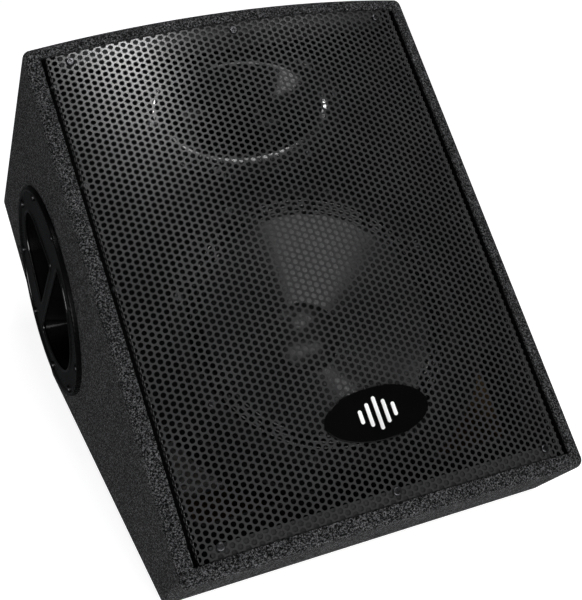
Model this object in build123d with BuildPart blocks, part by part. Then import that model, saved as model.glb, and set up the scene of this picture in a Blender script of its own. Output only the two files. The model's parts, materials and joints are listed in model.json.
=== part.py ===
"""A 12-inch floor-wedge loudspeaker cabinet, in millimetres.

Every piece is drawn in the cabinet's own frame: X runs across the front, Y up along the baffle from its lower
end and Z straight out of the baffle, with Z = 0 at the front edges of the side walls. The finished pieces are
then turned together onto the sloping base, which puts +Z up and the listener at -Y.
"""

import os
from math import atan2, cos, degrees, hypot, pi, sin, sqrt

from build123d import *

os.makedirs("parts", exist_ok=True)

# ---------------------------------------------------------------- driving dimensions
# cabinet
WIDTH = 440.0
BAFFLE_LENGTH = 568.0
TOP_DEPTH = 356.0
HEEL_DEPTH = 107.0
BACK_LENGTH = 248.0
BOW = 25.0
PLY = 12.0
CARPET = 3.5
EDGE_RADIUS = 9.0
BAFFLE_FRONT = -22.0
BAFFLE_PLY = 15.0
CLEAT = 20.0
GAP = 0.05
# grille
GRILLE_DROP = 2.0
SHEET = 1.5
GRILLE_SIDE_GAP = 6.0
GRILLE_END_GAP = 0.8
GRILLE_FLANGE = 10.0
BATTEN_HEIGHT = 14.0
BATTEN_HALF = 186.0
BATTEN_BACK = -10.0
GRILLE_SCREW_X = 176.0
GRILLE_SCREW_INSET = 26.5
BADGE_X = 8.0
BADGE_Y = 104.0
BADGE_SIZE = (56.0, 27.0)
BADGE_THICK = 2.5
# woofer
WOOFER_Y = 220.0
CONE_RADIUS = 119.5
COIL_RADIUS = 32.1
CONE_DEPTH = 46.0
CAP_RADIUS = 37.0
CAP_HEIGHT = 18.0
ROLL_RADIUS = 137.5
FLANGE_RADIUS = 154.0
BASKET_HOLE_RADIUS = 141.5
WOOFER_SCREW_RADIUS = 147.0
ROLL_HEIGHT = 4.2
ROLL_COUNT = 3
CLOTH = 0.9
# horn and compression driver
HORN_Y = 469.0
HORN_MOUTH = (94.0, 63.0)
THROAT_RADIUS = 12.7
HORN_LENGTH = 110.0
HORN_WALL = 3.5
HORN_RIM = 5.0
HORN_LIP = 3.0
# bass-reflex ports
PORT_EDGE_X = 188.0
PORT_TOP_Y = 150.0
PORT_BOTTOM_Y = 54.0
PORT_CLEAR_RADIUS = 180.0
PORT_CORNER = 18.0
DUCT_WALL = 3.0
DUCT_LENGTH = 60.0
# side plate
PLATE_Y = 379.0
PLATE_DEPTH = 210.0
PLATE_RADIUS = 121.0
PLATE_THICK = 3.5
PLATE_RIM = 5.5
PLATE_RIM_WIDTH = 4.0
PLATE_HOLE = 107.0
POCKET_WALL = 3.0
GRIP_DEPTH = 45.0
DISH_RADIUS = 92.0
DISH_DEPTH = 42.0
DISH_DRAFT = 10.0
BAR_HALF = 6.0
PLATE_SCREWS = 9
PLATE_SCREW_RADIUS = 112.5
# feet
FOOT_RADIUS = 19.0
FOOT_HEIGHT = 8.0
FOOT_X = 165.0
FOOT_SLOPE = 150.0

# ---------------------------------------------------------------- derived sizes and frames
WALL = PLY + CARPET
HALF = WIDTH / 2
INNER_HALF = HALF - WALL
INNER_TOP = BAFFLE_LENGTH - WALL
BOW_RADIUS = (HALF**2 + BOW**2) / (2 * BOW)
TILT = atan2(TOP_DEPTH - HEEL_DEPTH, BAFFLE_LENGTH - BACK_LENGTH)
BASE_LENGTH = hypot(TOP_DEPTH - HEEL_DEPTH, BAFFLE_LENGTH - BACK_LENGTH)
BAFFLE_BACK = BAFFLE_FRONT - BAFFLE_PLY

side = Plane(origin=(-HALF, PLATE_Y, -PLATE_DEPTH), x_dir=(0, 0, 1), z_dir=(-1, 0, 0))
base_middle = ((BAFFLE_LENGTH - BACK_LENGTH) / 2, -(TOP_DEPTH + HEEL_DEPTH) / 2)
base = Plane(origin=(0, *base_middle), x_dir=(1, 0, 0), z_dir=(0, -sin(TILT), -cos(TILT)))
woofer_side = Plane(origin=(0, WOOFER_Y, BAFFLE_FRONT), x_dir=(1, 0, 0), z_dir=(0, -1, 0))
woofer_face = Plane(origin=(0, WOOFER_Y, BAFFLE_FRONT))
woofer_axis = Axis((0, WOOFER_Y, 0), (0, 0, 1))
horn_side = Plane(origin=(0, HORN_Y, BAFFLE_FRONT), x_dir=(1, 0, 0), z_dir=(0, -1, 0))
horn_face = Plane(origin=(0, HORN_Y, BAFFLE_FRONT))
horn_axis = Axis((0, HORN_Y, 0), (0, 0, 1))

pieces = []


def keep(solid, name):
    """Names a finished piece and puts it with the others."""
    solid.label = name
    pieces.append(solid)


def front(x, drop=0.0):
    """Z of the bowed front at x, on the arc that lies drop behind it."""
    return BOW - BOW_RADIUS + sqrt((BOW_RADIUS - drop) ** 2 - x**2)


def outline(depth):
    """Corners of the side view as (Y, Z), every wall but the front moved in by depth; front left long."""
    nose = BOW + 5
    heel_z = -HEEL_DEPTH + depth * (1 - sin(TILT)) / cos(TILT)
    back_z = depth - TOP_DEPTH
    back_y = (depth - (back_z + HEEL_DEPTH) * cos(TILT)) / sin(TILT)
    top_y = BAFFLE_LENGTH - depth
    return [(depth, nose), (top_y, nose), (top_y, back_z), (back_y, back_z), (depth, heel_z)]


def rounded_block(skin, radius):
    """The whole cabinet as one solid block with its faces set in by skin and its edges rounded."""
    reach = HALF - skin
    with BuildPart() as block:
        with BuildSketch(Plane.YZ.offset(-reach)):
            Polygon(*outline(skin), align=None)
        extrude(amount=2 * reach)
        with BuildSketch(Plane.XZ):
            with BuildLine():
                left = (-reach, front(reach, skin))
                right = (reach, front(reach, skin))
                ThreePointArc(left, (0, front(0, skin)), right)
                Polyline(right, (reach, -TOP_DEPTH - 10), (-reach, -TOP_DEPTH - 10), left)
            make_face()
        extrude(amount=-BAFFLE_LENGTH, mode=Mode.INTERSECT)
        fillet(block.edges(), radius)
    return block.part


def curved_slab(near, far, reach, low, high):
    """A slab that follows the bowed front, from drop near to drop far, |x| up to reach and Y low to high."""
    with BuildPart() as slab:
        with BuildSketch(Plane.XZ.offset(-low)):
            with BuildLine():
                ThreePointArc((-reach, front(reach, near)), (0, front(0, near)), (reach, front(reach, near)))
                Line((reach, front(reach, near)), (reach, front(reach, far)))
                ThreePointArc((reach, front(reach, far)), (0, front(0, far)), (-reach, front(reach, far)))
                Line((-reach, front(reach, far)), (-reach, front(reach, near)))
            make_face()
        extrude(amount=low - high)
    return slab.part


def turned(plane, axis, points):
    """A solid of revolution from a closed outline of (radius, height) points."""
    with BuildPart() as solid:
        with BuildSketch(plane):
            Polygon(*points, align=None)
        revolve(axis=axis)
    return solid.part


def tube(plane, axis, inner, outer, low, high):
    """A plain ring or cylinder."""
    return turned(plane, axis, [(inner, low), (outer, low), (outer, high), (inner, high)])


def drill(plane, spots, radius, depth):
    """Cuts round holes into the part being built, going in against the plane's normal."""
    with BuildSketch(plane) as holes:
        with Locations(*spots):
            Circle(radius)
    extrude(holes.sketch, amount=-depth, mode=Mode.SUBTRACT)


def screw_group(places, head, head_height, shank, length):
    """Pan-head cross-recess screws as separate solids: places is a list of (plane, spots)."""
    recess = head * 1.1
    with BuildPart() as group:
        for plane, spots in places:
            with BuildSketch(plane):
                with Locations(*spots):
                    Circle(head)
            extrude(amount=head_height)
        rims = group.edges().filter_by(GeomType.CIRCLE)
        fillet([edge for edge in rims if on_top(edge, places, head_height)], head_height * 0.55)
        for plane, spots in places:
            with BuildSketch(plane):
                with Locations(*spots):
                    Circle(shank)
            extrude(amount=-length)
            with BuildSketch(plane.offset(head_height)):
                with Locations(*spots):
                    Rectangle(recess, recess * 0.22)
                    Rectangle(recess * 0.22, recess)
            extrude(amount=-head_height * 0.5, mode=Mode.SUBTRACT)
    return group.part


def on_top(edge, places, height):
    """True for an edge at the given height over one of the planes."""
    centre = edge.arc_center
    return any(abs(plane.to_local_coords(centre).Z - height) < 0.01 for plane, _ in places)


def ring_of(count, radius_x, radius_y, start=0.0):
    """Points spread round an ellipse, start in degrees."""
    turns = [start * pi / 180 + 2 * pi * step / count for step in range(count)]
    return [(radius_x * cos(turn), radius_y * sin(turn)) for turn in turns]


# ---------------------------------------------------------------- screw places shared by the pieces they join
woofer_screw_spots = ring_of(8, WOOFER_SCREW_RADIUS, WOOFER_SCREW_RADIUS, 22.5)
horn_screw_spots = ring_of(6, 106.0, 75.0, 0.0)
hf_bolt_spots = [(-38.1, 0), (38.1, 0)]
plate_screw_spots = ring_of(PLATE_SCREWS, PLATE_SCREW_RADIUS, PLATE_SCREW_RADIUS, 90.0)
baffle_screw_spots = [(x, y) for x in (-193.0, 193.0) for y in (185.0, 300.0, 415.0, 530.0)]
foot_spots = [(x, y) for x in (-FOOT_X, FOOT_X) for y in (-FOOT_SLOPE, FOOT_SLOPE)]

grille_screw_places = []
for x in (-GRILLE_SCREW_X, 0.0, GRILLE_SCREW_X):
    lean = x / BOW_RADIUS
    seat = Plane(
        origin=(x, 0, front(x, GRILLE_DROP)),
        x_dir=(sqrt(1 - lean**2), 0, -lean),
        z_dir=(lean, 0, sqrt(1 - lean**2)),
    )
    grille_screw_places.append((seat, [(0, GRILLE_SCREW_INSET), (0, BAFFLE_LENGTH - GRILLE_SCREW_INSET)]))

# ---------------------------------------------------------------- plywood carcass
wood_block = rounded_block(CARPET, EDGE_RADIUS - CARPET)
wood_outline = outline(CARPET)
cavity_outline = outline(WALL)

with BuildPart() as side_panel_left:
    with BuildSketch(Plane.YZ.offset(-HALF + CARPET)):
        Polygon(*wood_outline, align=None)
    extrude(amount=PLY)
    add(wood_block, mode=Mode.INTERSECT)
    drill(side, [(0, 0)], PLATE_HOLE, WALL)
    drill(side, plate_screw_spots, 2.0 + GAP, WALL)
keep(side_panel_left.part, "side_panel_left")

with BuildPart() as side_panel_right:
    with BuildSketch(Plane.YZ.offset(INNER_HALF)):
        Polygon(*wood_outline, align=None)
    extrude(amount=PLY)
    add(wood_block, mode=Mode.INTERSECT)
keep(side_panel_right.part, "side_panel_right")

wall_names = {1: "top_panel", 2: "back_panel", 3: "base_panel", 4: "heel_panel"}
for corner, wall_name in wall_names.items():
    after = (corner + 1) % 5
    mitred = [wood_outline[corner], wood_outline[after], cavity_outline[after], cavity_outline[corner]]
    with BuildPart() as wall_panel:
        with BuildSketch(Plane.YZ.offset(-INNER_HALF)):
            Polygon(*mitred, align=None)
        extrude(amount=2 * INNER_HALF)
        add(wood_block, mode=Mode.INTERSECT)
        if wall_name == "base_panel":
            drill(base, foot_spots, 2.2 + GAP, WALL)
        if wall_name == "back_panel":
            standoff_spots = [(x, y) for x in (-10.0, 130.0) for y in (395.0, 485.0)]
            drill(Plane.XY.offset(WALL - TOP_DEPTH), standoff_spots, 1.5 + GAP, 8.0)
    keep(wall_panel.part, wall_name)

with BuildPart() as carpet_cover:
    add(rounded_block(0.0, EDGE_RADIUS))
    add(wood_block, mode=Mode.SUBTRACT)
    with BuildSketch(Plane.XY.offset(BAFFLE_FRONT)):
        with Locations((0, BAFFLE_LENGTH / 2)):
            Rectangle(2 * INNER_HALF, BAFFLE_LENGTH - 2 * WALL)
    extrude(amount=BOW + 40, mode=Mode.SUBTRACT)
    drill(side, [(0, 0)], PLATE_HOLE, WALL)
    drill(side, plate_screw_spots, 2.0 + GAP, WALL)
    drill(base, foot_spots, 2.2 + GAP, WALL)
keep(carpet_cover.part, "carpet_cover")


def port_outline(side_of_cabinet, grow):
    """A corner port between the outer edge, the lower edge and an arc round the woofer, grown by grow."""
    with BuildSketch() as port:
        with Locations((side_of_cabinet * (PORT_EDGE_X + grow), PORT_BOTTOM_Y - grow)):
            Rectangle(
                PORT_EDGE_X + grow - 40,
                PORT_TOP_Y - PORT_BOTTOM_Y + 2 * grow,
                align=(Align.MAX if side_of_cabinet > 0 else Align.MIN, Align.MIN),
            )
        with Locations((0, WOOFER_Y)):
            Circle(PORT_CLEAR_RADIUS - grow, mode=Mode.SUBTRACT)
        outward_and_down = port.vertices().sort_by(lambda corner: side_of_cabinet * corner.X - corner.Y)
        fillet(outward_and_down[-1], PORT_CORNER + grow)
        sharp_ends = port.vertices().sort_by(lambda corner: side_of_cabinet * corner.X - corner.Y)
        fillet(sharp_ends[0], 1.5)
    return port.sketch


with BuildPart() as baffle:
    with BuildSketch(Plane.XY.offset(BAFFLE_FRONT)) as face:
        with Locations((0, BAFFLE_LENGTH / 2)):
            Rectangle(2 * INNER_HALF, BAFFLE_LENGTH - 2 * WALL)
        with Locations((0, WOOFER_Y)):
            Circle(BASKET_HOLE_RADIUS, mode=Mode.SUBTRACT)
        with Locations((0, HORN_Y)):
            Ellipse(HORN_MOUTH[0] + 5, HORN_MOUTH[1] + 5, mode=Mode.SUBTRACT)
        add(port_outline(-1, DUCT_WALL), mode=Mode.SUBTRACT)
        add(port_outline(1, DUCT_WALL), mode=Mode.SUBTRACT)
    extrude(amount=-BAFFLE_PLY)
    drill(woofer_face, woofer_screw_spots, 2.4 + GAP, BAFFLE_PLY)
    drill(horn_face, horn_screw_spots, 2.0 + GAP, BAFFLE_PLY)
    drill(Plane.XY.offset(BAFFLE_FRONT), baffle_screw_spots, 2.0 + GAP, BAFFLE_PLY)
keep(baffle.part, "baffle")

with BuildPart() as baffle_cleats:
    with BuildSketch(Plane.XY.offset(BAFFLE_BACK)):
        for side_of_cabinet in (-1, 1):
            with Locations((side_of_cabinet * (INNER_HALF - CLEAT / 2), (PORT_TOP_Y + 12 + INNER_TOP) / 2)):
                Rectangle(CLEAT, INNER_TOP - PORT_TOP_Y - 12)
    extrude(amount=-CLEAT)
    drill(Plane.XY.offset(BAFFLE_BACK), baffle_screw_spots, 2.0 + GAP, CLEAT)
keep(baffle_cleats.part, "baffle_cleats")

baffle_seat = Plane.XY.offset(BAFFLE_FRONT)
keep(screw_group([(baffle_seat, baffle_screw_spots)], 4.0, 2.4, 2.0, 30.0), "baffle_screws")

for side_of_cabinet, duct_name in ((-1, "port_duct_left"), (1, "port_duct_right")):
    with BuildPart() as duct:
        with BuildSketch(Plane.XY.offset(BAFFLE_FRONT)):
            add(port_outline(side_of_cabinet, DUCT_WALL))
            add(port_outline(side_of_cabinet, 0.0), mode=Mode.SUBTRACT)
        extrude(amount=-DUCT_LENGTH)
    keep(duct.part, duct_name)

with BuildPart() as wadding_base:
    with BuildSketch(base.offset(-WALL)):
        with Locations((0, -30)):
            Rectangle(380, 240)
    extrude(amount=-22)
keep(wadding_base.part, "wadding_base")

with BuildPart() as wadding_side:
    with BuildSketch(Plane.YZ.offset(INNER_HALF)):
        with Locations((410, -190)):
            Rectangle(240, 160)
    extrude(amount=-22)
keep(wadding_side.part, "wadding_side")

# ---------------------------------------------------------------- feet on the sloping base
with BuildPart() as rubber_feet:
    with BuildSketch(base):
        with Locations(*foot_spots):
            Circle(FOOT_RADIUS)
    extrude(amount=FOOT_HEIGHT, taper=6)
    drill(base.offset(FOOT_HEIGHT), foot_spots, 6.0, FOOT_HEIGHT - 3)
    drill(base.offset(FOOT_HEIGHT), foot_spots, 2.2 + GAP, FOOT_HEIGHT)
keep(rubber_feet.part, "rubber_feet")
keep(screw_group([(base.offset(3.0), foot_spots)], 4.4, 2.6, 2.2, 16.0), "foot_screws")

# ---------------------------------------------------------------- grille, its battens, screws and badge
grille_reach = INNER_HALF - GRILLE_SIDE_GAP
grille_low = WALL + GRILLE_END_GAP
grille_high = INNER_TOP - GRILLE_END_GAP
with BuildPart() as grille:
    add(curved_slab(GRILLE_DROP, GRILLE_DROP + SHEET, grille_reach, grille_low, grille_high))
    flange_top = front(grille_reach, GRILLE_DROP + SHEET)
    for edge_of_sheet in (-1, 1):
        with BuildSketch(Plane.XY.offset(flange_top - GRILLE_FLANGE)) as flange_foot:
            with Locations((edge_of_sheet * (grille_reach - SHEET / 2), (grille_low + grille_high) / 2)):
                Rectangle(SHEET, grille_high - grille_low)
        extrude(amount=GRILLE_FLANGE + SHEET / 2)
    for seat, spots in grille_screw_places:
        drill(seat.offset(5), spots, 2.0 + GAP, 14.0)
keep(grille.part, "grille")

batten_rows = {
    "grille_batten_bottom": (WALL, WALL + BATTEN_HEIGHT),
    "grille_batten_top": (INNER_TOP - BATTEN_HEIGHT, INNER_TOP),
}
for batten_name, (low, high) in batten_rows.items():
    with BuildPart() as batten:
        add(curved_slab(GRILLE_DROP + SHEET, BOW - BAFFLE_FRONT + 30, BATTEN_HALF, low, high))
        with BuildSketch(Plane.XY.offset(BATTEN_BACK)):
            with Locations((0, (low + high) / 2)):
                Rectangle(2 * BATTEN_HALF, BATTEN_HEIGHT)
        extrude(amount=2 * BOW, mode=Mode.INTERSECT)
        for seat, spots in grille_screw_places:
            drill(seat, spots, 2.0 + GAP, 16.0)
    keep(batten.part, batten_name)

keep(screw_group(grille_screw_places, 4.4, 2.8, 2.0, 15.0), "grille_screws")

badge_back = GRILLE_DROP - GAP
badge_face = badge_back - BADGE_THICK
badge_reach = BADGE_X + BADGE_SIZE[0] + 5
with BuildPart() as badge:
    with BuildSketch(Plane.XY):
        with Locations((BADGE_X, BADGE_Y)):
            Ellipse(*BADGE_SIZE)
    extrude(amount=BOW + 20)
    add(curved_slab(badge_face, badge_back, badge_reach, 0, 2 * BADGE_Y), mode=Mode.INTERSECT)
    fillet(badge.edges().group_by(Axis.Z)[-1], 0.8)
keep(badge.part, "badge")

bar_heights = (14.0, 24.0, 34.0, 24.0, 14.0)
bar_width = 4.0
bar_spacing = 9.0
with BuildPart() as badge_mark:
    with BuildSketch(Plane.XY):
        for step, height in enumerate(bar_heights):
            with Locations((BADGE_X + (step - 2) * bar_spacing, BADGE_Y)):
                SlotOverall(height, bar_width, rotation=90)
    extrude(amount=BOW + 20)
    add(curved_slab(badge_face - 0.5, badge_face, badge_reach, 0, 2 * BADGE_Y), mode=Mode.INTERSECT)
keep(badge_mark.part, "badge_mark")

# ---------------------------------------------------------------- woofer, turned about its own axis
basket_points = [
    (FLANGE_RADIUS, 0), (140.5, 0), (140.5, -14.4), (81, -54), (70, -54), (70, -72), (36, -72), (36, -70),
    (68, -70), (68, -52), (80, -52), (138.5, -13), (138.5, 0), (138.5, 2), (FLANGE_RADIUS, 2),
]
with BuildPart() as woofer_basket:
    add(turned(woofer_side, woofer_axis, basket_points))
    with BuildSketch(woofer_face.offset(-53)):
        with PolarLocations(110, 8):
            Trapezoid(44, 52, 74, rotation=-90)
    extrude(amount=37, mode=Mode.SUBTRACT)
    drill(woofer_face.offset(2), woofer_screw_spots, 2.4 + GAP, 2)
keep(woofer_basket.part, "woofer_basket")

roll_steps = 24
roll_step = (ROLL_RADIUS - CONE_RADIUS) / roll_steps
roll = [
    (CONE_RADIUS + roll_step * step, 2 + ROLL_HEIGHT * sin(ROLL_COUNT * pi * step / roll_steps) ** 2)
    for step in range(roll_steps + 1)
]
with BuildPart() as woofer_surround:
    with BuildSketch(woofer_side):
        with BuildLine():
            lower = Spline(*roll)
            upper = Spline(*[(r, z + CLOTH) for r, z in roll])
            Polyline(lower @ 1, (FLANGE_RADIUS - 1, 2), (FLANGE_RADIUS - 1, 2 + CLOTH), upper @ 1)
            Line(lower @ 0, upper @ 0)
        make_face()
    revolve(axis=woofer_axis)
    drill(woofer_face.offset(4), woofer_screw_spots, 2.4 + GAP, 4)
keep(woofer_surround.part, "woofer_surround")

with BuildPart() as woofer_gasket:
    add(tube(woofer_side, woofer_axis, ROLL_RADIUS + 1, FLANGE_RADIUS - 1, 2 + CLOTH, 6))
    drill(woofer_face.offset(6), woofer_screw_spots, 2.4 + GAP, 6)
keep(woofer_gasket.part, "woofer_gasket")

woofer_screw_seat = woofer_face.offset(6)
keep(screw_group([(woofer_screw_seat, woofer_screw_spots)], 4.6, 2.6, 2.4, 24.0), "woofer_screws")

paper = 1.4
cone_rise = (2 + CONE_DEPTH) / (CONE_RADIUS - COIL_RADIUS)


def cone_face(radius):
    """Height of the cone's front face at a radius."""
    return -CONE_DEPTH + paper + cone_rise * (radius - COIL_RADIUS)


cone_points = [
    (COIL_RADIUS, -CONE_DEPTH), (CONE_RADIUS, 2.0), (CONE_RADIUS, cone_face(CONE_RADIUS)),
    (COIL_RADIUS, cone_face(COIL_RADIUS)),
]
keep(turned(woofer_side, woofer_axis, cone_points), "woofer_cone")

shell = 0.8
cap_foot = cone_face(CAP_RADIUS)
cap_inner_foot = cone_face(CAP_RADIUS - shell)
with BuildPart() as dust_cap:
    with BuildSketch(woofer_side):
        with BuildLine():
            dome = TangentArc(
                (0, cap_foot + CAP_HEIGHT), (CAP_RADIUS, cap_foot), tangent=(1, 0)
            )
            under = TangentArc(
                (0, cap_foot + CAP_HEIGHT - shell), (CAP_RADIUS - shell, cap_inner_foot), tangent=(1, 0)
            )
            Line(dome @ 0, under @ 0)
            Line(dome @ 1, under @ 1)
        make_face()
    revolve(axis=woofer_axis)
keep(dust_cap.part, "dust_cap")

former_points = [
    (COIL_RADIUS - 0.35, -88), (COIL_RADIUS, -88), (COIL_RADIUS, -84), (COIL_RADIUS + 0.75, -84),
    (COIL_RADIUS + 0.75, -68), (COIL_RADIUS, -68), (COIL_RADIUS, -CONE_DEPTH + paper),
    (COIL_RADIUS - 0.35, -CONE_DEPTH + paper),
]
keep(turned(woofer_side, woofer_axis, former_points), "voice_coil")

spider_step = (66.0 - 36.0) / 30
waves = [(36 + spider_step * step, -51.7 + 1.5 * sin(5 * pi * step / 30)) for step in range(31)]
with BuildPart() as spider:
    with BuildSketch(woofer_side):
        with BuildLine():
            lower = Spline(*waves)
            upper = Spline(*[(r, z + 0.6) for r, z in waves])
            Polyline(lower @ 1, (68, -52), (78, -52), (78, -51.4), (68, -51.4), upper @ 1)
            Polyline(lower @ 0, (COIL_RADIUS, -51.7), (COIL_RADIUS, -51.1), upper @ 0)
        make_face()
    revolve(axis=woofer_axis)
keep(spider.part, "spider")

keep(tube(woofer_side, woofer_axis, COIL_RADIUS + 1.3, 60, -80, -72), "woofer_top_plate")
keep(tube(woofer_side, woofer_axis, 42, 73, -100, -80), "woofer_magnet")
pole_radius = COIL_RADIUS - 0.85
yoke_points = [(9, -108), (70, -108), (70, -100), (pole_radius, -100), (pole_radius, -72), (9, -72)]
keep(turned(woofer_side, woofer_axis, yoke_points), "woofer_back_plate")

with BuildPart() as woofer_terminals:
    with BuildSketch(Plane.YZ.offset(70)):
        with Locations((WOOFER_Y, BAFFLE_FRONT - 62)):
            Rectangle(24, 10)
    extrude(amount=5)
    with BuildSketch(Plane.YZ.offset(75)):
        with Locations((WOOFER_Y - 7, BAFFLE_FRONT - 62), (WOOFER_Y + 7, BAFFLE_FRONT - 62)):
            Rectangle(6.3, 0.8)
    extrude(amount=9)
keep(woofer_terminals.part, "woofer_terminals")

# ---------------------------------------------------------------- horn and compression driver
throat_z = HORN_RIM + HORN_LIP - HORN_LENGTH


def flare(steps, grow):
    """Lofts the horn's oval section, grown by grow, through steps from 0 (throat) to 1 (mouth)."""
    with BuildPart() as throat_to_mouth:
        for step in steps:
            wide = THROAT_RADIUS * (HORN_MOUTH[0] / THROAT_RADIUS) ** step + grow
            tall = THROAT_RADIUS * (HORN_MOUTH[1] / THROAT_RADIUS) ** step + grow
            with BuildSketch(horn_face.offset(throat_z + HORN_LENGTH * step)):
                Ellipse(wide + 0.01, tall)
        loft()
    return throat_to_mouth.part


with BuildPart() as horn:
    add(flare((0.03, 0.27, 0.5, 0.73, 0.95), HORN_WALL))
    with BuildSketch(horn_face):
        Ellipse(HORN_MOUTH[0] + 19, HORN_MOUTH[1] + 19)
    extrude(amount=HORN_RIM)
    with BuildSketch(horn_face):
        Ellipse(HORN_MOUTH[0] + 4.5, HORN_MOUTH[1] + 4.5)
    extrude(amount=HORN_RIM + HORN_LIP)
    with BuildSketch(horn_face.offset(throat_z)):
        Circle(45)
    extrude(amount=6)
    add(flare((-0.03, 0.25, 0.5, 0.75, 1.02), 0.0), mode=Mode.SUBTRACT)
    drill(horn_face.offset(HORN_RIM), horn_screw_spots, 2.0 + GAP, HORN_RIM)
    drill(horn_face.offset(throat_z + 6), hf_bolt_spots, 3.0 + GAP, 6)
keep(horn.part, "horn")
keep(screw_group([(horn_face.offset(HORN_RIM), horn_screw_spots)], 4.0, 2.4, 2.0, 18.0), "horn_screws")
keep(screw_group([(horn_face.offset(throat_z + 6), hf_bolt_spots)], 5.5, 4.5, 3.0, 12.0), "hf_bolts")

with BuildPart() as hf_pole_piece:
    add(
        turned(
            horn_side,
            horn_axis,
            [
                (THROAT_RADIUS, throat_z), (45, throat_z), (45, throat_z - 8), (20.6, throat_z - 8),
                (20.6, throat_z - 30), (7, throat_z - 30),
            ],
        )
    )
    drill(horn_face.offset(throat_z), hf_bolt_spots, 3.0 + GAP, 6.5)
keep(hf_pole_piece.part, "hf_pole_piece")
keep(tube(horn_side, horn_axis, 27, 45, throat_z - 24, throat_z - 8), "hf_magnet")
keep(tube(horn_side, horn_axis, 22.4, 44, throat_z - 30, throat_z - 24), "hf_top_plate")

diaphragm_foot = throat_z - 31.2
diaphragm_top = diaphragm_foot - 9
with BuildPart() as hf_diaphragm:
    with BuildSketch(horn_side):
        with BuildLine():
            dome = TangentArc((0, diaphragm_top), (21.8, diaphragm_foot), tangent=(1, 0))
            under = TangentArc((0, diaphragm_top + 0.4), (21.3, diaphragm_foot), tangent=(1, 0))
            Line(dome @ 0, under @ 0)
            Polyline(dome @ 1, (21.8, throat_z - 25), (21.3, throat_z - 25), under @ 1)
        make_face()
    revolve(axis=horn_axis)
keep(hf_diaphragm.part, "hf_diaphragm")
keep(tube(horn_side, horn_axis, 21.8, 31, diaphragm_foot, diaphragm_foot + 0.3), "hf_suspension")
clamp_points = [
    (31, diaphragm_foot - 3), (40, diaphragm_foot - 3), (40, throat_z - 30), (31, throat_z - 30),
]
keep(turned(horn_side, horn_axis, clamp_points), "hf_clamp_ring")
cover_points = [
    (0, throat_z - 52), (41, throat_z - 52), (44, throat_z - 49), (44, throat_z - 30), (41, throat_z - 30),
    (41, throat_z - 48), (0, throat_z - 48),
]
keep(turned(horn_side, horn_axis, cover_points), "hf_cover")

# ---------------------------------------------------------------- crossover on the back panel
panel_inside = WALL - TOP_DEPTH
board_foot = Plane.XY.offset(panel_inside + 8)
board_face = board_foot.offset(1.6)
board_middle = (60.0, 440.0)

with BuildPart() as crossover_standoffs:
    with BuildSketch(Plane.XY.offset(panel_inside)):
        with Locations(*standoff_spots):
            Circle(4)
            Circle(1.5 + GAP, mode=Mode.SUBTRACT)
    extrude(amount=8)
keep(crossover_standoffs.part, "crossover_standoffs")

with BuildPart() as crossover_board:
    with BuildSketch(board_foot):
        with Locations(board_middle):
            RectangleRounded(160, 110, 4)
    extrude(amount=1.6)
    drill(board_face, standoff_spots, 1.5 + GAP, 1.6)
keep(crossover_board.part, "crossover_board")
keep(screw_group([(board_face, standoff_spots)], 3.2, 2.0, 1.5, 15.0), "crossover_screws")

with BuildPart() as inductors:
    for x, y, outer, height in ((20, 415, 27, 28), (100, 462, 22, 22), (30, 470, 16, 16)):
        with BuildSketch(board_face):
            with Locations((x, y)):
                Circle(outer)
                Circle(outer * 0.45, mode=Mode.SUBTRACT)
        extrude(amount=height)
keep(inductors.part, "inductors")

with BuildPart() as capacitors:
    for x, y, radius, length in ((70, 405, 9, 34), (100, 410, 8, 30), (66, 462, 7, 28)):
        with BuildSketch(Plane.XZ.offset(length / 2 - y)):
            with Locations((x, panel_inside + 9.6 + radius)):
                Circle(radius)
        extrude(amount=-length)
keep(capacitors.part, "capacitors")

with BuildPart() as resistors:
    with BuildSketch(board_face):
        with Locations((122, 420), (66, 434), (100, 434)):
            RectangleRounded(22, 9, 1)
    extrude(amount=9)
keep(resistors.part, "resistors")

# ---------------------------------------------------------------- side plate with grip pocket and connector dish


def grip_outline(grow):
    """The D-shaped mouth of the grip pocket, above the dividing bar."""
    with BuildSketch() as mouth:
        with BuildLine():
            ThreePointArc((-42, 70), (0, 99), (42, 70))
            Polyline((42, 70), (60, BAR_HALF), (-60, BAR_HALF), (-42, 70))
        make_face()
        fillet(mouth.vertices(), 9)
        if grow:
            offset(amount=grow)
    return mouth.sketch


def dish_outline(grow):
    """The half-round mouth of the connector dish, below the dividing bar."""
    with BuildSketch() as mouth:
        Circle(DISH_RADIUS)
        with Locations((0, -BAR_HALF)):
            Rectangle(2 * DISH_RADIUS, DISH_RADIUS, align=(Align.CENTER, Align.MAX), mode=Mode.INTERSECT)
        fillet(mouth.vertices(), 9)
        if grow:
            offset(amount=grow)
    return mouth.sketch


def on_side(flat, height):
    """Moves a flat sketch onto the side plane at a height out of the cabinet."""
    return side.offset(height) * flat


with BuildPart() as side_plate:
    with BuildSketch(side):
        Circle(PLATE_RADIUS)
    extrude(amount=PLATE_THICK)
    with BuildSketch(side):
        Circle(PLATE_RADIUS)
        Circle(PLATE_RADIUS - PLATE_RIM_WIDTH, mode=Mode.SUBTRACT)
    extrude(amount=PLATE_RIM)
    rim_edges = side_plate.edges().filter_by(GeomType.CIRCLE).group_by(Axis.X)[0]
    fillet(rim_edges, 1.6)
    extrude(on_side(grip_outline(0), 0), amount=PLATE_THICK, mode=Mode.SUBTRACT)
    extrude(on_side(dish_outline(0), 0), amount=PLATE_THICK, mode=Mode.SUBTRACT)
    drill(side.offset(PLATE_THICK), plate_screw_spots, 2.0 + GAP, PLATE_THICK)
keep(side_plate.part, "side_plate")

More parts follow.
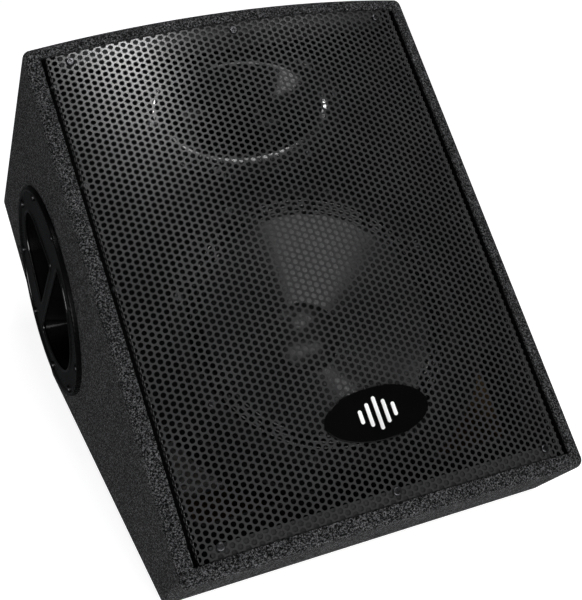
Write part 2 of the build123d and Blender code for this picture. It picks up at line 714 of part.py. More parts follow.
with BuildPart() as grip_pocket:
    extrude(on_side(grip_outline(POCKET_WALL), 0), amount=-(GRIP_DEPTH + POCKET_WALL))
    extrude(on_side(grip_outline(0), 0), amount=-GRIP_DEPTH, mode=Mode.SUBTRACT)
keep(grip_pocket.part, "grip_pocket")

panel_middle = (0.0, -43.0)
panel_size = (100.0, 46.0)
dish_floor = side.offset(-DISH_DEPTH)
socket_spots = [(-34.0, panel_middle[1]), (-6.0, panel_middle[1])]
jack_spots = [(19.0, panel_middle[1]), (38.0, panel_middle[1])]
panel_screw_spots = [(x, panel_middle[1] + y) for x in (-46.5, 46.5) for y in (-19.0, 19.0)]
socket_radius = 12.0
jack_radius = 5.0
jack_bore = 3.2
panel_thick = 2.0

with BuildPart() as connector_dish:
    extrude(on_side(dish_outline(POCKET_WALL), 0), amount=-DISH_DEPTH, taper=DISH_DRAFT)
    extrude(on_side(dish_outline(0), 0), amount=-DISH_DEPTH, taper=DISH_DRAFT, mode=Mode.SUBTRACT)
keep(connector_dish.part, "connector_dish")

with BuildPart() as connector_dish_floor:
    extrude(on_side(dish_outline(POCKET_WALL), 0), amount=-(DISH_DEPTH + POCKET_WALL), taper=DISH_DRAFT)
    extrude(on_side(dish_outline(POCKET_WALL), 0), amount=-DISH_DEPTH, mode=Mode.SUBTRACT)
    drill(dish_floor, socket_spots, socket_radius + GAP, POCKET_WALL)
    drill(dish_floor, jack_spots, 9.0, POCKET_WALL)
    drill(dish_floor, panel_screw_spots, 1.5 + GAP, POCKET_WALL)
keep(connector_dish_floor.part, "connector_dish_floor")

plate_seat = side.offset(PLATE_THICK)
keep(screw_group([(plate_seat, plate_screw_spots)], 4.4, 2.6, 2.0, 16.0), "side_plate_screws")

with BuildPart() as connector_panel:
    with BuildSketch(dish_floor):
        with Locations(panel_middle):
            RectangleRounded(*panel_size, 3)
    extrude(amount=panel_thick)
    drill(dish_floor.offset(panel_thick), socket_spots, socket_radius + GAP, panel_thick)
    drill(dish_floor.offset(panel_thick), jack_spots, jack_radius + GAP, panel_thick)
    drill(dish_floor.offset(panel_thick), panel_screw_spots, 1.5 + GAP, panel_thick)
keep(connector_panel.part, "connector_panel")
panel_seat = dish_floor.offset(panel_thick)
keep(screw_group([(panel_seat, panel_screw_spots)], 2.8, 1.8, 1.5, 8.0), "panel_screws")

with BuildPart() as speaker_sockets:
    with BuildSketch(panel_seat):
        with Locations(*socket_spots):
            RectangleRounded(26, 31, 3)
    extrude(amount=2)
    with BuildSketch(panel_seat):
        with Locations(*socket_spots):
            Circle(socket_radius)
    extrude(amount=-22)
    drill(panel_seat.offset(2), socket_spots, 10.0, 18.0)
    with BuildSketch(panel_seat.offset(-16)):
        with Locations(*socket_spots):
            with PolarLocations(6, 4):
                Rectangle(1.2, 5)
    extrude(amount=-2, mode=Mode.SUBTRACT)
keep(speaker_sockets.part, "speaker_sockets")

with BuildPart() as jack_sockets:
    with BuildSketch(panel_seat.offset(-panel_thick)):
        with Locations(*jack_spots):
            Circle(8.5)
    extrude(amount=-28)
    with BuildSketch(panel_seat.offset(-panel_thick)):
        with Locations(*jack_spots):
            Circle(jack_radius)
    extrude(amount=panel_thick + 4)
    drill(panel_seat.offset(4), jack_spots, jack_bore, 32.0)
keep(jack_sockets.part, "jack_sockets")

with BuildPart() as jack_nuts:
    with BuildSketch(panel_seat):
        with Locations(*jack_spots):
            RegularPolygon(7.2, 6)
            Circle(jack_radius + GAP, mode=Mode.SUBTRACT)
    extrude(amount=2.6)
keep(jack_nuts.part, "jack_nuts")

# ---------------------------------------------------------------- stand every piece on the sloping base
turned_over = [piece.moved(Location((0, 0, 0), (degrees(TILT), 0, 0))) for piece in pieces]
boxes = [piece.bounding_box() for piece in turned_over]
middle_x = (min(b.min.X for b in boxes) + max(b.max.X for b in boxes)) / 2
middle_y = (min(b.min.Y for b in boxes) + max(b.max.Y for b in boxes)) / 2
lowest = min(b.min.Z for b in boxes)
for piece in turned_over:
    placed = piece.moved(Location((-middle_x, -middle_y, -lowest)))
    placed.label = piece.label
    export_step(placed, f"parts/{placed.label}.step")
print("tilt", round(degrees(TILT), 3), "shift", round(-middle_x, 3), round(-middle_y, 3), round(-lowest, 3))
print("pieces", len(turned_over), "base length", round(BASE_LENGTH, 2))
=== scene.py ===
"""Looks for a 12-inch floor-wedge loudspeaker cabinet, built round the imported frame.

Shapes are drawn in the cabinet's own axes, in metres: X across the front, Y up along the baffle from its
lower end, Z straight out of it. CABINET turns them into the row frame, where the cabinet lies on its base.
"""

import json
from math import asin, atan2, cos, degrees, pi, radians, sin

import bmesh
import bpy
from mathutils import Matrix, Vector, noise
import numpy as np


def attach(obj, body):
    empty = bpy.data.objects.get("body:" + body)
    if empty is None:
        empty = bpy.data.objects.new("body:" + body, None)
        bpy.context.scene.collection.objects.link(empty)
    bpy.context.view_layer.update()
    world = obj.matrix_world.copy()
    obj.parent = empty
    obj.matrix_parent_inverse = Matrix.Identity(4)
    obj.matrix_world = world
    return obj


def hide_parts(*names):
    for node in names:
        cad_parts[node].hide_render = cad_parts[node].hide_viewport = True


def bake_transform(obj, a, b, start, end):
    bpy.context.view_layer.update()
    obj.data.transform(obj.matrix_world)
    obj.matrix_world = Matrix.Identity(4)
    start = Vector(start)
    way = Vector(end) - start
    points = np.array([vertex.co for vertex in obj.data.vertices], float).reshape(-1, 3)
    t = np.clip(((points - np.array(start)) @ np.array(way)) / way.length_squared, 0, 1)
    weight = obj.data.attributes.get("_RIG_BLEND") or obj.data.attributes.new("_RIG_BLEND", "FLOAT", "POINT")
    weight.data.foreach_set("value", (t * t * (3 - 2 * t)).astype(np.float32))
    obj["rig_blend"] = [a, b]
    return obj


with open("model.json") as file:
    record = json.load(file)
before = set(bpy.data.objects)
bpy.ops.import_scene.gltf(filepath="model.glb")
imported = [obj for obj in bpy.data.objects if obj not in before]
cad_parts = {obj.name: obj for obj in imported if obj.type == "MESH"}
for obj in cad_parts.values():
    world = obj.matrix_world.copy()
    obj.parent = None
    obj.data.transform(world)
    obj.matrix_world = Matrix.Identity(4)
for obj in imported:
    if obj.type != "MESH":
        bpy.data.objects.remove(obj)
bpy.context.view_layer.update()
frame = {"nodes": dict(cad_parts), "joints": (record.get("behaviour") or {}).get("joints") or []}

# ---------------------------------------------------------------- the cabinet's axes, read from the frame
OUT = Vector(frame["joints"][0]["axis"]).normalized()
ACROSS = Vector((1, 0, 0))
ALONG = OUT.cross(ACROSS)
TILT = atan2(ALONG.z, ALONG.y)
BOW = 0.025


def span(node):
    """Lowest and highest corner of a CAD node, measured along the cabinet's turned axes."""
    axes = Matrix((ACROSS, ALONG, OUT))
    points = [axes @ vertex.co for vertex in frame["nodes"][node].data.vertices]
    low = Vector([min(point[axis] for point in points) for axis in range(3)])
    high = Vector([max(point[axis] for point in points) for axis in range(3)])
    return low, high


shell_low, shell_high = span("carpet_cover")
origin = Vector(((shell_low.x + shell_high.x) / 2, shell_low.y, shell_high.z - BOW))
TURN = Matrix((ACROSS, ALONG, OUT)).transposed().to_4x4()
CABINET = TURN @ Matrix.Translation(origin)
HALF_WIDTH = (shell_high.x - shell_low.x) / 2
BOW_RADIUS = (HALF_WIDTH**2 + BOW**2) / (2 * BOW)


def local_span(node):
    """Lowest and highest corner of a CAD node in the cabinet's own axes."""
    low, high = span(node)
    return low - origin, high - origin


# ---------------------------------------------------------------- camera
CAMERA_AT = Vector((-0.4598, -1.0646, 0.9039))
CAMERA_TOWARDS = Vector((0.3551, 0.7614, -0.5423))
CAMERA_ROLL = radians(1.2)
CAMERA_LENS = 72.8


def make_camera():
    """The photograph's viewing angle."""
    data = bpy.data.cameras.new("view")
    data.lens = CAMERA_LENS
    data.sensor_width = 36
    data.clip_end = 50
    camera = bpy.data.objects.new("view", data)
    level = CAMERA_TOWARDS.to_track_quat("-Z", "Y").to_matrix().to_4x4()
    camera.matrix_world = Matrix.Translation(CAMERA_AT) @ level @ Matrix.Rotation(CAMERA_ROLL, 4, "Z")
    bpy.context.scene.collection.objects.link(camera)
    bpy.context.scene.camera = camera


make_camera()
bpy.context.scene.view_settings.view_transform = "Standard"


# ---------------------------------------------------------------- materials
BLACK_PAINT = (0.003, 0.003, 0.003)
WHITE = (0.85, 0.85, 0.84)
BAFFLE_BACK = -0.037
WAVE_OF_A_METRE = 0.314


class Finish:
    """One procedural material being wired up. Patterns follow the cabinet's axes, at sizes in metres."""

    def __init__(self, name, **constants):
        self.material = bpy.data.materials.new(name)
        self.material.use_nodes = True
        self.nodes = self.material.node_tree.nodes
        self.links = self.material.node_tree.links
        self.shader = self.nodes["Principled BSDF"]
        for socket, value in constants.items():
            self.shader.inputs[socket.replace("_", " ")].default_value = value
        place = self.nodes.new("ShaderNodeTexCoord")
        self.mapping = self.nodes.new("ShaderNodeMapping")
        self.mapping.inputs["Rotation"].default_value = (-TILT, 0, 0)
        self.links.new(place.outputs["Object"], self.mapping.inputs["Vector"])
        self.place = self.mapping.outputs["Vector"]

    def node(self, kind, **inputs):
        """Adds a node, links sockets given as inputs and sets plain values."""
        made = self.nodes.new(kind)
        for name, value in inputs.items():
            socket = made.inputs[name.replace("_", " ")]
            if isinstance(value, bpy.types.NodeSocket):
                self.links.new(value, socket)
            else:
                socket.default_value = value
        return made

    def stretched(self, stretch, turn=(0, 0, 0)):
        """The cabinet's coordinates, stretched by a factor on each axis."""
        made = self.node("ShaderNodeMapping", Vector=self.place, Scale=stretch, Rotation=turn)
        return made.outputs["Vector"]

    def noise(self, size, detail=3.0, distortion=0.0, where=None, roughness=0.5):
        """Soft noise with features of about the given size."""
        made = self.node(
            "ShaderNodeTexNoise", Vector=where or self.place, Scale=1 / size, Detail=detail,
            Distortion=distortion, Roughness=roughness,
        )
        return made.outputs["Fac"]

    def waves(self, direction, spacing):
        """Even bands across one axis, at the given spacing."""
        made = self.nodes.new("ShaderNodeTexWave")
        made.bands_direction = direction
        made.inputs["Scale"].default_value = WAVE_OF_A_METRE / spacing
        self.links.new(self.place, made.inputs["Vector"])
        return made.outputs["Fac"]

    def ramp(self, factor, *stops):
        """A grey or coloured ramp through (position, value) stops."""
        made = self.nodes.new("ShaderNodeValToRGB")
        while len(made.color_ramp.elements) < len(stops):
            made.color_ramp.elements.new(0.5)
        for element, (position, value) in zip(made.color_ramp.elements, stops):
            element.position = position
            element.color = (*value, 1) if isinstance(value, tuple) else (value, value, value, 1)
        self.links.new(factor, made.inputs["Fac"])
        return made.outputs["Color"]

    def mixed(self, factor, first, second, blend="MIX"):
        """Mixes two colours, each a socket or a plain colour."""
        made = self.nodes.new("ShaderNodeMix")
        made.data_type = "RGBA"
        made.blend_type = blend
        for name, value in (("Factor", factor), ("A", first), ("B", second)):
            socket = [entry for entry in made.inputs if entry.name == name and entry.enabled][0]
            if isinstance(value, bpy.types.NodeSocket):
                self.links.new(value, socket)
            else:
                socket.default_value = (*value, 1) if isinstance(value, tuple) else value
        return [entry for entry in made.outputs if entry.enabled][0]

    def math(self, operation, first, second):
        """A Math node on two sockets or values."""
        made = self.nodes.new("ShaderNodeMath")
        made.operation = operation
        for socket, value in zip(made.inputs, (first, second)):
            if isinstance(value, bpy.types.NodeSocket):
                self.links.new(value, socket)
            else:
                socket.default_value = value
        return made.outputs["Value"]

    def blended(self, first, share, second, other_share):
        """The sum of two patterns, each with its share."""
        part = self.math("MULTIPLY", first, share)
        return self.math("ADD", part, self.math("MULTIPLY", second, other_share))

    def colour(self, socket):
        """Gives the shader its colour."""
        self.links.new(socket, self.shader.inputs["Base Color"])
        return self

    def rough(self, factor, low, high):
        """Roughness between two values, by a pattern."""
        self.links.new(self.ramp(factor, (0.3, low), (0.7, high)), self.shader.inputs["Roughness"])
        return self

    def bump(self, height, depth, strength=1.0):
        """Relief of about the given depth."""
        made = self.node("ShaderNodeBump", Height=height, Distance=depth, Strength=strength)
        self.links.new(made.outputs["Normal"], self.shader.inputs["Normal"])
        return self


def moulded(name, tone, rough, grain=0.0012, depth=0.00006, **constants):
    """Moulded or painted surface: one tone with faint mottling, fine grain and uneven gloss."""
    finish = Finish(name, **constants)
    patches = finish.noise(0.05)
    fine = finish.noise(grain, detail=2)
    dark, light = tuple(0.86 * c for c in tone), tuple(1.14 * c for c in tone)
    finish.colour(finish.ramp(patches, (0.35, dark), (0.65, light)))
    finish.rough(finish.blended(patches, 0.6, fine, 0.4), rough * 0.85, rough * 1.15)
    return finish.bump(fine, depth).material


def metal(name, tone, rough, brushed=(1, 1, 1), depth=0.00002):
    """Bare or plated metal with fine marks that may run one way."""
    finish = Finish(name, Metallic=1.0)
    marks = finish.noise(0.0008, detail=3, where=finish.stretched(brushed))
    patches = finish.noise(0.02)
    finish.colour(finish.ramp(patches, (0.3, tuple(0.85 * c for c in tone)), (0.7, tone)))
    finish.rough(marks, rough * 0.7, rough * 1.3)
    return finish.bump(marks, depth).material


def wood(name, pale, deep, rough, painted_in_front=False):
    """Plies and grain along the sheet, painted black in front of the baffle if wanted."""
    finish = Finish(name, Specular_IOR_Level=0.06)
    along = finish.stretched((1.0, 0.07, 1.0))
    grain = finish.noise(0.003, detail=6, distortion=0.6, where=along)
    broad = finish.noise(0.02, detail=3, distortion=1.0, where=along)
    both = finish.blended(grain, 0.6, broad, 0.4)
    colour = finish.ramp(both, (0.35, deep), (0.65, pale))
    if painted_in_front:
        height = finish.node("ShaderNodeSeparateXYZ", Vector=finish.place).outputs["Z"]
        painted = finish.math("GREATER_THAN", height, origin.z + BAFFLE_BACK)
        colour = finish.mixed(painted, colour, BLACK_PAINT)
    finish.colour(colour)
    finish.rough(grain, rough * 0.85, min(1.0, rough * 1.15))
    return finish.bump(grain, 0.00015).material


def carpet():
    """Short charcoal needle-felt: dark pile with paler curled fibres lying through it."""
    finish = Finish("carpet_pile", Roughness=0.95, Specular_IOR_Level=0.15)
    pile = finish.noise(0.0019, detail=3, roughness=0.8)
    clumps = finish.noise(0.012, detail=2)
    strand_a = finish.noise(0.0042, detail=3, distortion=1.6)
    turned_over = finish.stretched((1, 1, 1), (0.6, 0.4, 0.9))
    strand_b = finish.noise(0.0035, detail=3, distortion=1.4, where=turned_over)
    curl_a = finish.ramp(strand_a, (0.45, 0.0), (0.5, 1.0), (0.55, 0.0))
    curl_b = finish.ramp(strand_b, (0.455, 0.0), (0.5, 1.0), (0.545, 0.0))
    curls = finish.math("MAXIMUM", curl_a, curl_b)
    broken = finish.ramp(pile, (0.46, 0.0), (0.60, 1.0))
    flecks = finish.math("MULTIPLY", curls, broken)
    ground = finish.ramp(
        pile, (0.42, (0.0, 0.0, 0.0)), (0.51, (0.007, 0.007, 0.008)), (0.60, (0.075, 0.075, 0.079))
    )
    fleeced = finish.mixed(flecks, ground, (0.30, 0.30, 0.31))
    finish.colour(finish.mixed(1.0, fleeced, finish.ramp(clumps, (0.3, 0.75), (0.7, 1.0)), "MULTIPLY"))
    height = finish.math("ADD", pile, finish.math("MULTIPLY", curls, 0.5))
    return finish.bump(height, 0.0011).material


def steel_paint():
    """Satin black powder coat with a faint orange-peel."""
    finish = Finish("grille_powder_coat", Specular_IOR_Level=0.5)
    peel = finish.noise(0.0011, detail=2)
    patches = finish.noise(0.06)
    finish.colour(finish.ramp(patches, (0.35, (0.028, 0.028, 0.029)), (0.65, (0.033, 0.033, 0.034))))
    finish.rough(patches, 0.24, 0.28)
    return finish.bump(peel, 0.00004).material


def paper(name, tone, rough, ripple_from, ripple):
    """Pressed paper: fibres, and fine concentric ripples about the given point of the row frame."""
    finish = Finish(name, Specular_IOR_Level=0.5, Coat_Weight=0.1, Coat_Roughness=0.2)
    centre = TURN.inverted() @ ripple_from
    moved = finish.node("ShaderNodeMapping", Vector=finish.place, Location=-centre).outputs["Vector"]
    flat = finish.node("ShaderNodeMapping", Vector=moved, Scale=(1, 1, 0)).outputs["Vector"]
    rings = finish.nodes.new("ShaderNodeTexWave")
    rings.wave_type = "RINGS"
    rings.rings_direction = "SPHERICAL"
    rings.inputs["Scale"].default_value = WAVE_OF_A_METRE / ripple
    finish.links.new(flat, rings.inputs["Vector"])
    fibre = finish.noise(0.0015, detail=5, distortion=1.5)
    dark, light = tuple(0.8 * c for c in tone), tuple(1.25 * c for c in tone)
    finish.colour(finish.ramp(fibre, (0.3, dark), (0.7, light)))
    finish.rough(fibre, rough * 0.9, rough * 1.15)
    height = finish.math("ADD", finish.math("MULTIPLY", fibre, 0.25), rings.outputs["Fac"])
    return finish.bump(height, 0.00002).material


def cloth(name, tone, thread, rough=0.8, relief=0.3, **constants):
    """Woven and doped cloth: threads crossing at right angles."""
    finish = Finish(name, **constants)
    weave = finish.math("MAXIMUM", finish.waves("X", thread), finish.waves("Y", thread))
    finish.colour(finish.ramp(weave, (0.2, tuple(0.6 * c for c in tone)), (0.9, tone)))
    finish.rough(weave, rough * 0.9, rough)
    return finish.bump(weave, thread * relief).material


def wound(name, tone, wire):
    """Enamelled wire wound in close turns."""
    finish = Finish(name, Metallic=0.9)
    turns = finish.waves("Z", wire)
    finish.colour(finish.ramp(turns, (0.1, tuple(0.4 * c for c in tone)), (0.7, tone)))
    finish.rough(turns, 0.25, 0.45)
    return finish.bump(turns, wire * 0.4).material


def banded(name, body, mark, spacing):
    """A component's body with plain printed bands."""
    finish = Finish(name, Roughness=0.4)
    finish.colour(finish.ramp(finish.waves("X", spacing), (0.9, body), (0.96, mark)))
    return finish.bump(finish.noise(0.001), 0.00005).material


woofer_low, woofer_high = local_span("woofer_surround")
woofer_middle = (woofer_low + woofer_high) / 2
woofer_point = CABINET @ Vector((woofer_middle.x, woofer_middle.y, woofer_low.z))

finishes = {
    "plywood": wood("birch_ply", (0.55, 0.38, 0.22), (0.36, 0.22, 0.12), 0.6, painted_in_front=True),
    "painted_plywood": wood("black_stained_ply", (0.003, 0.003, 0.003), (0.002, 0.002, 0.002), 0.9),
    "batten_wood": wood("black_batten", (0.034, 0.034, 0.035), (0.022, 0.022, 0.023), 0.6),
    "black_screws": metal("blacked_steel", (0.10, 0.10, 0.105), 0.36),
    "zinc_screws": metal("zinc_plate", (0.62, 0.62, 0.60), 0.3),
    "port_plastic": moulded("port_moulding", (0.006, 0.006, 0.006), 0.6, Specular_IOR_Level=0.1),
    "carpet": carpet(),
    "rubber": moulded("foot_rubber", (0.02, 0.02, 0.02), 0.75, grain=0.0008, depth=0.0001),
    "grille_steel": steel_paint(),
    "badge_plastic": moulded(
        "gloss_badge", (0.002, 0.002, 0.002), 0.10, depth=0.000006, Specular_IOR_Level=0.12
    ),
    "badge_white": moulded("white_print", WHITE, 0.4),
    "basket_steel": moulded("basket_paint", (0.006, 0.006, 0.006), 0.6, Specular_IOR_Level=0.1),
    "gasket_board": moulded(
        "gasket_board", (0.006, 0.006, 0.006), 0.9, grain=0.0015, depth=0.0002, Specular_IOR_Level=0.06
    ),
    "surround_cloth": cloth(
        "doped_cloth", (0.004, 0.004, 0.004), 0.0007, 0.20, 0.03, Specular_IOR_Level=1.0, Coat_Weight=0.5
    ),
    "cone_paper": paper("cone_paper", (0.009, 0.009, 0.0094), 0.22, woofer_point, 0.004),
    "cap_paper": paper("cap_paper", (0.010, 0.010, 0.0105), 0.30, woofer_point, 0.006),
    "coil_copper": wound("coil_copper", (0.80, 0.38, 0.20), 0.0008),
    "spider_cloth": cloth("spider_cloth", (0.55, 0.40, 0.16), 0.0009),
    "motor_steel": metal("motor_steel", (0.55, 0.55, 0.54), 0.35),
    "ferrite": moulded("ferrite", (0.05, 0.05, 0.052), 0.6, grain=0.0006, depth=0.0001),
    "terminal_brass": metal("terminal_brass", (0.78, 0.60, 0.28), 0.3),
    "horn_plastic": moulded(
        "horn_gloss", (0.003, 0.003, 0.003), 0.16, depth=0.00001, Specular_IOR_Level=0.7, Coat_Weight=0.5
    ),
    "diaphragm_metal": metal("diaphragm_foil", (0.80, 0.80, 0.80), 0.22),
    "suspension_film": moulded("suspension_film", (0.35, 0.22, 0.06), 0.25),
    "clamp_plastic": moulded("clamp_moulding", (0.03, 0.03, 0.03), 0.5),
    "cover_metal": metal("cover_metal", (0.30, 0.30, 0.31), 0.45),
    "board": moulded("circuit_board", (0.02, 0.09, 0.04), 0.4),
    "capacitor_film": banded("capacitor_wrap", (0.55, 0.40, 0.06), (0.12, 0.08, 0.03), 0.022),
    "resistor_ceramic": moulded("resistor_ceramic", (0.75, 0.74, 0.70), 0.8),
    "plate_plastic": moulded(
        "plate_gloss", (0.002, 0.002, 0.002), 0.28, depth=0.00001, Specular_IOR_Level=0.2
    ),
    "panel_metal": metal("panel_metal", (0.022, 0.022, 0.022), 0.5, brushed=(1, 8, 1)),
    "socket_plastic": moulded("socket_moulding", (0.02, 0.02, 0.022), 0.35),
    "jack_metal": metal("jack_plate", (0.70, 0.70, 0.70), 0.25),
}


def wadding():
    """Matted polyester fibres."""
    finish = Finish("wadding_fibre", Roughness=0.95)
    clumps = finish.noise(0.012, detail=5, distortion=1.5)
    strands = finish.noise(0.003, detail=4, distortion=3.0)
    both = finish.blended(clumps, 0.5, strands, 0.5)
    finish.colour(finish.ramp(both, (0.35, (0.45, 0.45, 0.44)), (0.65, (0.82, 0.82, 0.80))))
    return finish.bump(both, 0.0015).material


finishes["wadding"] = wadding()


# ---------------------------------------------------------------- mesh helpers
def new_piece(name, builder, slot, replaced=(), body="cabinet"):
    """Turns a bmesh in the cabinet's axes into a named piece, riding on a body if one is given."""
    builder.normal_update()
    mesh = bpy.data.meshes.new(name)
    builder.to_mesh(mesh)
    builder.free()
    mesh.transform(CABINET)
    mesh.materials.append(finishes[slot])
    piece = bpy.data.objects.new(name, mesh)
    bpy.context.scene.collection.objects.link(piece)
    smooth(mesh)
    if replaced:
        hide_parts(*replaced)
    if body:
        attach(piece, body)
    return piece


def smooth(mesh, angle=radians(35)):
    """Smooth shading, with the edges sharper than the angle kept."""
    for polygon in mesh.polygons:
        polygon.use_smooth = True
    mesh.set_sharp_from_angle(angle=angle)


def apply_modifiers(piece):
    """Makes what the modifiers show into the piece's own mesh."""
    graph = bpy.context.evaluated_depsgraph_get()
    finished = bpy.data.meshes.new_from_object(piece.evaluated_get(graph), depsgraph=graph)
    piece.modifiers.clear()
    piece.data = finished


def skin(builder, rings):
    """Joins rings of corners with four-sided faces, each ring to the next and the last to the first."""
    for inner, outer in zip(rings, rings[1:] + rings[:1]):
        for step in range(len(inner)):
            after = (step + 1) % len(inner)
            builder.faces.new((inner[step], inner[after], outer[after], outer[step]))


def turned(builder, middle, sections, segments):
    """Skins oval sections about the baffle's normal at middle, from (half across, half along, height)."""
    rings = []
    for wide, tall, height in sections:
        ring = []
        for step in range(segments):
            turn = 2 * pi * step / segments
            ring.append(builder.verts.new((middle.x + wide * cos(turn), middle.y + tall * sin(turn), height)))
        rings.append(ring)
    skin(builder, rings)


def lathe(middle, profile):
    """A bmesh turned about the baffle's normal at middle, from a closed (radius, height) outline."""
    builder = bmesh.new()
    turned(builder, middle, [(radius, radius, height) for radius, height in profile], 128)
    bmesh.ops.recalc_face_normals(builder, faces=builder.faces)
    return builder


# ---------------------------------------------------------------- perforated grille
HOLE_COLUMN = 0.00665
HOLE_PITCH = 0.00711
HOLE_RADIUS = 0.00278
SHEET = 0.0008
GRILLE_DROP = 0.002
FLANGE = 0.010


grille_low, grille_high = local_span("grille")
sheet_radius = BOW_RADIUS - GRILLE_DROP
sheet_half = sheet_radius * asin(grille_high.x / sheet_radius)
flat_half = sheet_half + FLANGE


def bowed(across, along):
    """The point of the bowed front at a distance across, along the sheet, with its flanges folded back."""
    flat = max(-sheet_half, min(sheet_half, across))
    turn = flat / sheet_radius
    point = Vector((sheet_radius * sin(turn), along, BOW - BOW_RADIUS + sheet_radius * cos(turn)))
    point.z -= abs(across) - abs(flat)
    return point


def perforated_sheet(low, high):
    """The sheet between two heights: hexagonal cells with round holes, cut off where the sheet ends."""
    builder = bmesh.new()
    corners = {}

    def corner(across, along):
        key = (round(across * 1e5), round(along * 1e5))
        if key not in corners:
            corners[key] = builder.verts.new((across, along, 0))
        return corners[key]

    cell = [(2 / 3, 0), (1 / 3, 1 / 2), (-1 / 3, 1 / 2), (-2 / 3, 0), (-1 / 3, -1 / 2), (1 / 3, -1 / 2)]
    columns = int(flat_half / HOLE_COLUMN) + 2
    rows = range(int(low / HOLE_PITCH) - 1, int(high / HOLE_PITCH) + 3)
    for column in range(-columns, columns + 1):
        for row in rows:
            middle_x = column * HOLE_COLUMN
            middle_y = (row + 0.5 * (column % 2)) * HOLE_PITCH
            outer = [corner(middle_x + x * HOLE_COLUMN, middle_y + y * HOLE_PITCH) for x, y in cell]
            hole = []
            for step in range(12):
                turn = 2 * pi * step / 12
                hole.append(builder.verts.new((
                    middle_x + HOLE_RADIUS * cos(turn), middle_y + HOLE_RADIUS * sin(turn), 0)))
            for step in range(6):
                after = (step + 1) % 6
                builder.faces.new((
                    outer[step], outer[after], hole[2 * after], hole[2 * step + 1], hole[2 * step]))
    cuts = [
        ((0, low, 0), (0, -1, 0), True), ((0, high, 0), (0, 1, 0), True),
        ((-flat_half, 0, 0), (-1, 0, 0), True), ((flat_half, 0, 0), (1, 0, 0), True),
        ((-sheet_half, 0, 0), (-1, 0, 0), False), ((sheet_half, 0, 0), (1, 0, 0), False),
    ]
    for place, normal, clear in cuts:
        bmesh.ops.bisect_plane(
            builder, geom=builder.verts[:] + builder.edges[:] + builder.faces[:], dist=1e-7,
            plane_co=place, plane_no=normal, clear_outer=clear,
        )
    for vertex in builder.verts:
        vertex.co = bowed(vertex.co.x, vertex.co.y)
    return builder


def make_grille():
    """The grille in two halves, joined edge to edge along the middle."""
    middle = (grille_low.y + grille_high.y) / 2
    halves = (("grille_sheet_lower", grille_low.y, middle), ("grille_sheet_upper", middle, grille_high.y))
    for name, low, high in halves:
        sheet = new_piece(name, perforated_sheet(low, high), "grille_steel", ("grille",), body=None)
        thick = sheet.modifiers.new("thickness", "SOLIDIFY")
        thick.thickness = SHEET
        thick.offset = -1
        apply_modifiers(sheet)
        smooth(sheet.data)
        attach(sheet, "cabinet")


make_grille()


# ---------------------------------------------------------------- annular pieces that carry moving parts
def radial_weights(piece, middle, inner, outer):
    """Makes the blend follow the distance from the axis, so that a ring gives evenly all round."""
    centre = CABINET @ middle
    weights = piece.data.attributes["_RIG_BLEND"].data
    for vertex, weight in zip(piece.data.vertices, weights):
        offset = vertex.co - centre
        radius = (offset - OUT * offset.dot(OUT)).length
        share = max(0.0, min(1.0, (radius - inner) / (outer - inner)))
        weight.value = share * share * (3 - 2 * share)


def flexing_ring(name, profile, inner, outer, middle, slot, moving, node):
    """A turned ring whose inner edge moves with a body while its outer edge stays on the cabinet."""
    ring = new_piece(name, lathe(middle, profile), slot, (node,), body=None)
    start = CABINET @ (middle + Vector((inner, 0, 0)))
    end = CABINET @ (middle + Vector((outer, 0, 0)))
    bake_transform(ring, moving, "cabinet", start=start, end=end)
    radial_weights(ring, middle, inner, outer)
    return ring


ROLL_OUTER = 0.1375
ROLL_HEIGHT = 0.0042
SURROUND_THICK = 0.0009
cone_low, cone_high = local_span("woofer_cone")
cone_radius = (cone_high.x - cone_low.x) / 2
flange_radius = (woofer_high.x - woofer_low.x) / 2
roll_foot = woofer_low.z


def surround_profile():
    """Three half-rolls between the cone and the flange, as a closed (radius, height) outline."""
    steps = 72
    top, under = [], []
    for step in range(steps + 1):
        share = step / steps
        radius = cone_radius + (ROLL_OUTER - cone_radius) * share
        height = roll_foot + ROLL_HEIGHT * abs(sin(3 * pi * share)) ** 1.2
        top.append((radius, height + SURROUND_THICK))
        under.append((radius, height))
    top.append((flange_radius, roll_foot + SURROUND_THICK))
    under.append((flange_radius, roll_foot))
    return top + under[::-1]


flexing_ring("surround_rolls", surround_profile(), cone_radius, ROLL_OUTER, woofer_middle,
             "surround_cloth", "woofer_cone_assembly", "woofer_surround")


def wavy_profile(node, inner, wave_to, waves, thick, swing):
    """A ring inside a node's box, corrugated out to wave_to, as a closed (radius, height) outline."""
    low, high = local_span(node)
    outer = (high.x - low.x) / 2
    middle = (low.z + high.z) / 2
    steps = 96
    top, under = [], []
    for step in range(steps + 1):
        radius = inner + (outer - inner) * step / steps
        height = middle
        if radius < wave_to:
            height += swing * sin(waves * 2 * pi * radius / wave_to)
        top.append((radius, height + thick / 2))
        under.append((radius, height - thick / 2))
    return top + under[::-1]


SPIDER_HOLE = 0.0321
SPIDER_FREE_FROM = 0.036
SPIDER_FREE_TO = 0.066
spider_profile = wavy_profile("spider", SPIDER_HOLE, SPIDER_FREE_TO, 5, 0.0006, 0.0012)
flexing_ring("spider_corrugated", spider_profile, SPIDER_FREE_FROM, SPIDER_FREE_TO, woofer_middle,
             "spider_cloth", "woofer_cone_assembly", "spider")

FILM_HOLE = 0.0218
FILM_WAVES_TO = 0.031
film_low, film_high = local_span("hf_suspension")
film_profile = wavy_profile("hf_suspension", FILM_HOLE, FILM_WAVES_TO, 3, 0.00012, 0.00009)
flexing_ring("suspension_ring", film_profile, FILM_HOLE, (film_high.x - film_low.x) / 2,
             (film_low + film_high) / 2, "suspension_film", "hf_diaphragm", "hf_suspension")


